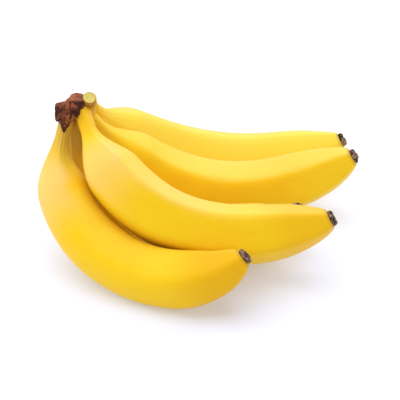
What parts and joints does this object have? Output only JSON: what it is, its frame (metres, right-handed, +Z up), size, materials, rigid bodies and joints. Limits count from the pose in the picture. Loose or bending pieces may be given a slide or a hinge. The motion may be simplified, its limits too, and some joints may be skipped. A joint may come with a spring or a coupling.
{
  "type": "bunch of bananas",
  "caption": "Ripe yellow bananas still joined at a dried brown crown, lying on a table with dark blossom ends and the pale face of a cut stalk.",
  "frame": {"origin": "middle of the bunch's footprint, on the table it lies on", "axes": "+X runs from the crown towards the blossom ends, +Y from the front banana to the back one, +Z up"},
  "size_m": [0.1954, 0.1871, 0.0966],
  "materials": {
    "peel": "smooth satin banana peel, clean bright yellow with paler shoulders",
    "blossom": "dry matt dark brown, crumbly",
    "dried_crown": "dry matt reddish brown cut fibre",
    "fresh_cut": "matt pale greenish yellow cut flesh with an olive rind"
  },
  "bodies": {
    "root": {"banana_front": "peel", "banana_upper": "peel", "banana_inner": "peel", "banana_middle": "peel", "banana_back": "peel", "blossom_end_front": "blossom", "blossom_end_upper": "blossom", "blossom_end_inner": "blossom", "blossom_end_middle": "blossom", "blossom_end_back": "blossom", "crown": "dried_crown", "cut_stalk": "fresh_cut"}
  },
  "joints": []
}
